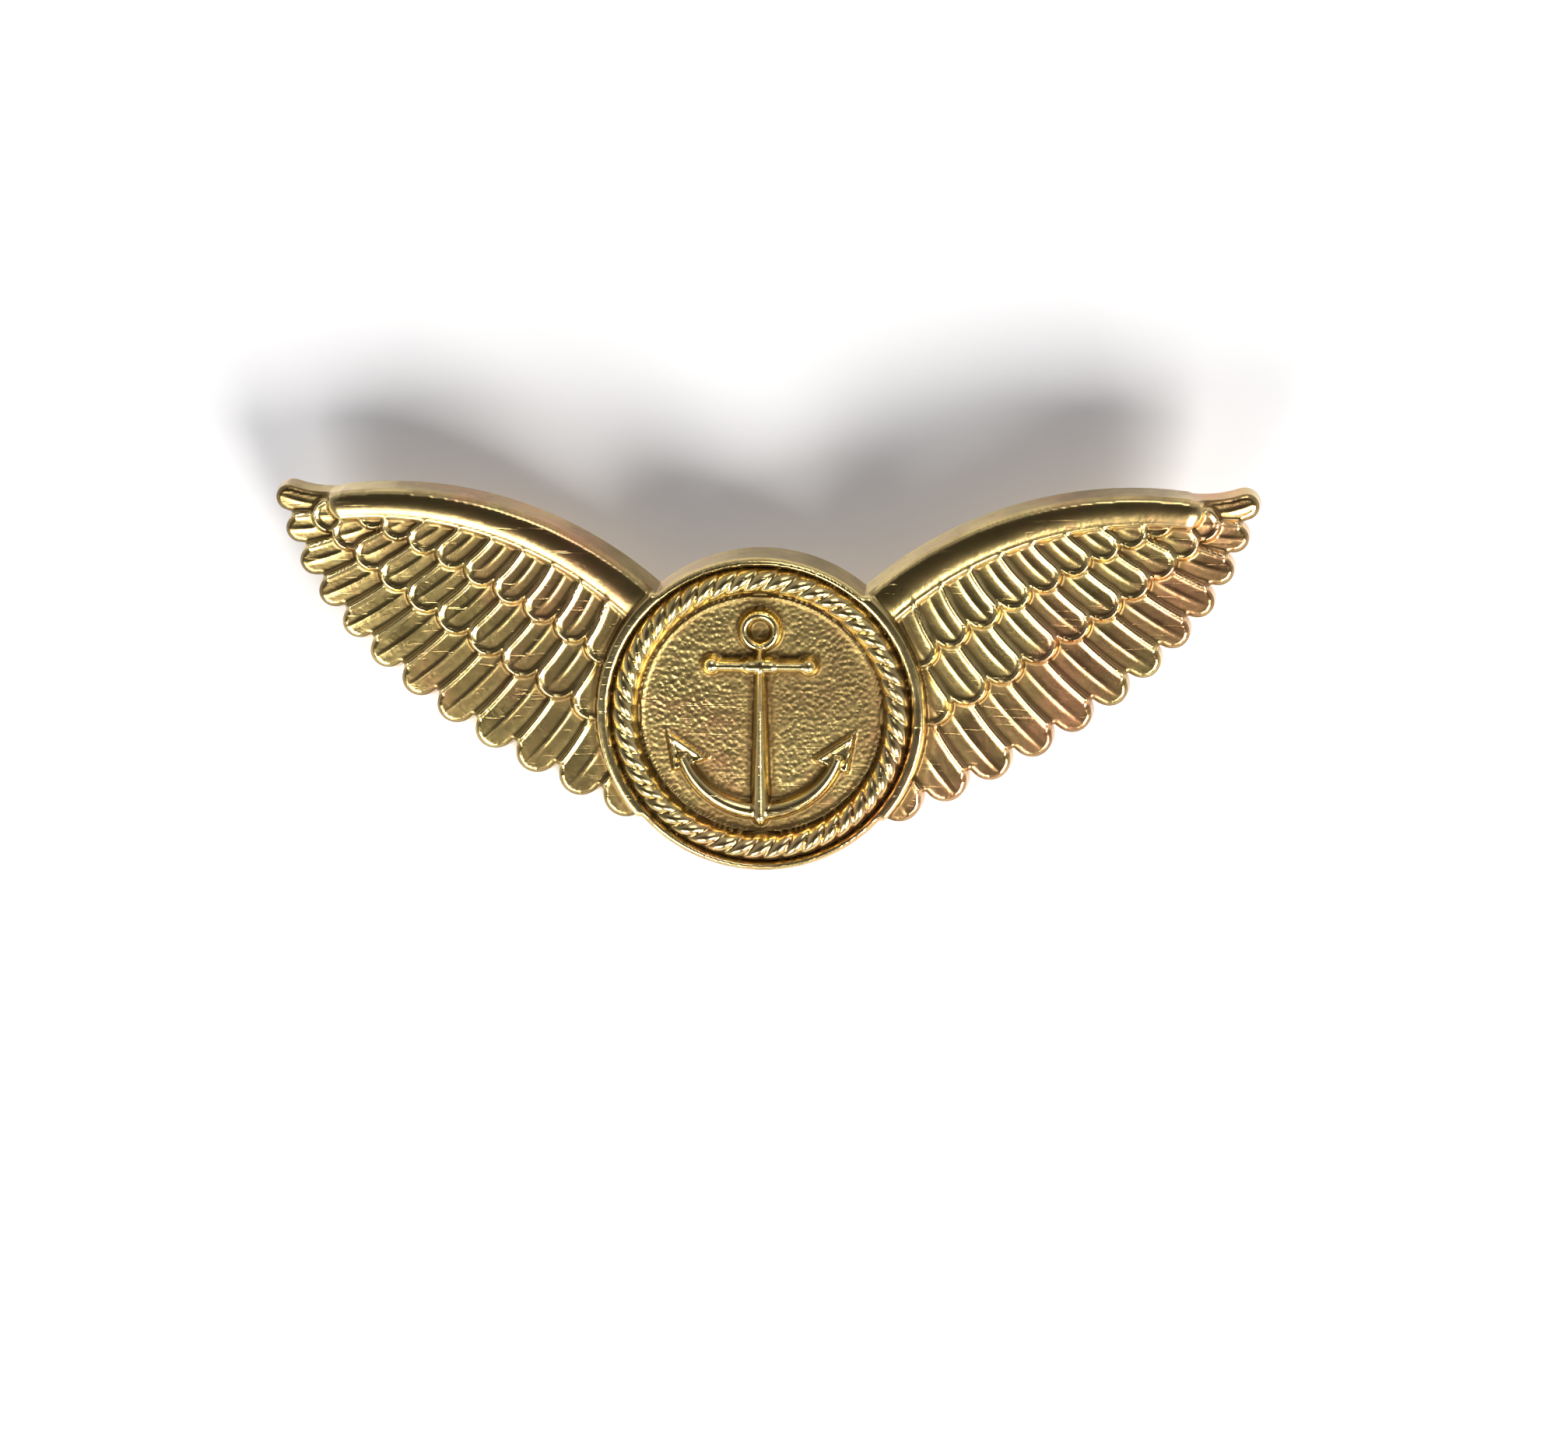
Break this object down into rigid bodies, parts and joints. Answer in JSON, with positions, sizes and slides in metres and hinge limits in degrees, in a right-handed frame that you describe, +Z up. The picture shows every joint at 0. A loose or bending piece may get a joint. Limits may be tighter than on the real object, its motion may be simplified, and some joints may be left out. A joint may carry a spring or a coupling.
{
  "type": "winged cap badge",
  "caption": "Struck brass cap badge: anchor medallion with a rope border between two upswept feathered wings, pin back with a turning lock.",
  "frame": {"origin": "centre of the medallion, on the plane of the back rim", "axes": "upright as worn: +X to the viewer's right seen from the front, +Z up, front faces -Y"},
  "size_m": [0.065, 0.008, 0.0259],
  "materials": {
    "gilt_brass": "worn gilt, satin to polished",
    "plain_brass": "dull",
    "lock_brass": "satin",
    "solder": "dull grey soft solder",
    "rivet_steel": "satin",
    "needle_steel": "nickel plated, satin"
  },
  "bodies": {
    "badge": {"badge_shell": "gilt_brass", "hinge_pad": "plain_brass", "hinge_solder": "solder", "hinge_bracket": "plain_brass", "hinge_rivet": "rivet_steel", "catch_pad": "plain_brass", "catch_solder": "solder", "catch_housing": "plain_brass"},
    "needle_arm": {"needle": "needle_steel"},
    "lock": {"catch_lock": "lock_brass"}
  },
  "joints": [
    {"name": "needle_swing", "type": "hinge", "parent": "badge", "child": "needle_arm", "pos_m": [-0.017, 0.002, 0.0045], "axis": [0, 0, 1], "range_deg": [0, 110]},
    {"name": "lock_turn", "type": "hinge", "parent": "badge", "child": "lock", "pos_m": [0.017, 0.002, 0.0045], "axis": [1, 0, 0], "range_deg": [0, 100]}
  ]
}
